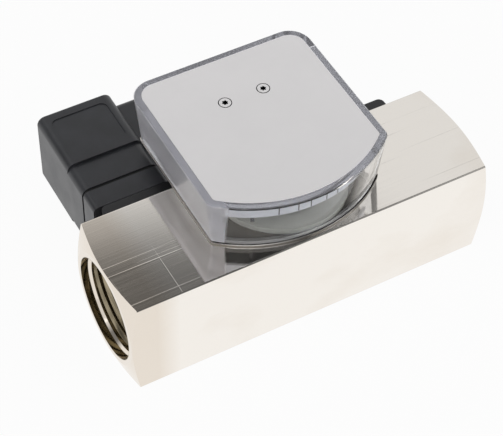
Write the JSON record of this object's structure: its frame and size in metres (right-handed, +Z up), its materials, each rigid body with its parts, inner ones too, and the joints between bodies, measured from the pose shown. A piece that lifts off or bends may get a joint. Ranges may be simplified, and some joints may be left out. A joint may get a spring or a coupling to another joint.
{
  "type": "variable area flow meter",
  "caption": "In-line variable area flow meter: square body with threaded ports, magnetic pointer behind a clear curved window, adjustable reed switch with angular plug.",
  "frame": {"origin": "centre of the body's flat bottom face", "axes": "+X along the flow, out of the outlet port; +Y to the rail and plug at the back; +Z up, through the indicator head"},
  "size_m": [0.1318, 0.0932, 0.06],
  "materials": {
    "body_metal": "satin nickel plate",
    "plate_metal": "satin",
    "steel": "plain",
    "brass": "turned",
    "nickel_brass": "nickel plated",
    "magnet": "sintered",
    "black_plastic": "fine moulded grain",
    "rail_black": "black anodised",
    "pointer_black": "black",
    "clear_plastic": "polished clear plastic",
    "white_plastic": "smooth",
    "grey_plastic": "smooth",
    "bearing_plastic": "smooth",
    "black_rubber": "matt",
    "board_green": "lacquered",
    "reed_glass": "clear"
  },
  "bodies": {
    "meter": {"meter_body": "body_metal", "inlet_spider": "nickel_brass", "outlet_spider": "nickel_brass", "measuring_sleeve": "nickel_brass", "sleeve_seal": "black_rubber", "retaining_ring": "steel", "guide_rod": "steel", "rod_nuts": "steel", "return_spring": "steel", "head_base_plate": "plate_metal", "head_gasket": "black_rubber", "clear_cover": "clear_plastic", "top_plate": "plate_metal", "top_plate_screws": "steel", "base_plate_screws": "steel", "bridge_screws": "steel", "bearing_bridge": "grey_plastic", "shaft_bushes": "brass", "dial_disc": "white_plastic", "scale_band": "white_plastic", "switch_rail": "rail_black", "rail_screws": "steel"},
    "float_group": {"float": "nickel_brass", "float_bushes": "bearing_plastic", "float_magnet": "magnet", "magnet_clip": "nickel_brass"},
    "pointer_group": {"pointer_shaft": "steel", "shaft_clip": "steel", "magnet_arm": "grey_plastic", "follower_magnet": "magnet", "counterweight": "brass", "pointer": "pointer_black"},
    "carriage": {"switch_carriage": "black_plastic", "reed_board": "board_green", "reed_switch": "reed_glass", "contact_block": "black_plastic", "contact_pins": "nickel_brass"},
    "clamp": {"clamp_screw": "steel"},
    "plug": {"plug_gasket": "black_rubber", "plug_housing": "black_plastic", "terminal_block": "grey_plastic", "terminal_screws": "steel", "gland_washer": "steel", "gland_seal": "black_rubber"},
    "plug_fixing": {"plug_screw": "steel"},
    "gland": {"gland_nut": "black_plastic"}
  },
  "joints": [
    {"name": "float_slide", "type": "slide", "parent": "meter", "child": "float_group", "axis": [1, 0, 0], "range_m": [0, 0.022], "stiffness_N_per_m": 60, "springref_m": -0.012, "deforming": ["return_spring"]},
    {"name": "pointer_swing", "type": "hinge", "parent": "meter", "child": "pointer_group", "pos_m": [-0.0005, 0.0284, 0.0497], "axis": [0, 0, 1], "range_deg": [0, 50.5]},
    {"name": "switch_slide", "type": "slide", "parent": "meter", "child": "carriage", "axis": [1, 0, 0], "range_m": [0, 0.025]},
    {"name": "clamp_turn", "type": "hinge", "parent": "carriage", "child": "clamp", "pos_m": [-0.0419, 0.0244, 0.00605], "axis": [0, 0, 1], "continuous": true},
    {"name": "plug_pull", "type": "slide", "parent": "carriage", "child": "plug", "axis": [0, 1, 0], "range_m": [0, 0.02]},
    {"name": "plug_screw_turn", "type": "hinge", "parent": "plug", "child": "plug_fixing", "pos_m": [-0.0419, 0.0731, 0.02], "axis": [0, 1, 0], "continuous": true},
    {"name": "gland_nut_turn", "type": "hinge", "parent": "plug", "child": "gland", "pos_m": [-0.01815, 0.0587, 0.02], "axis": [1, 0, 0], "continuous": true}
  ],
  "couplings": [
    {"joint": "pointer_swing", "follows": "float_slide", "rad_per_m": 39.667}
  ]
}
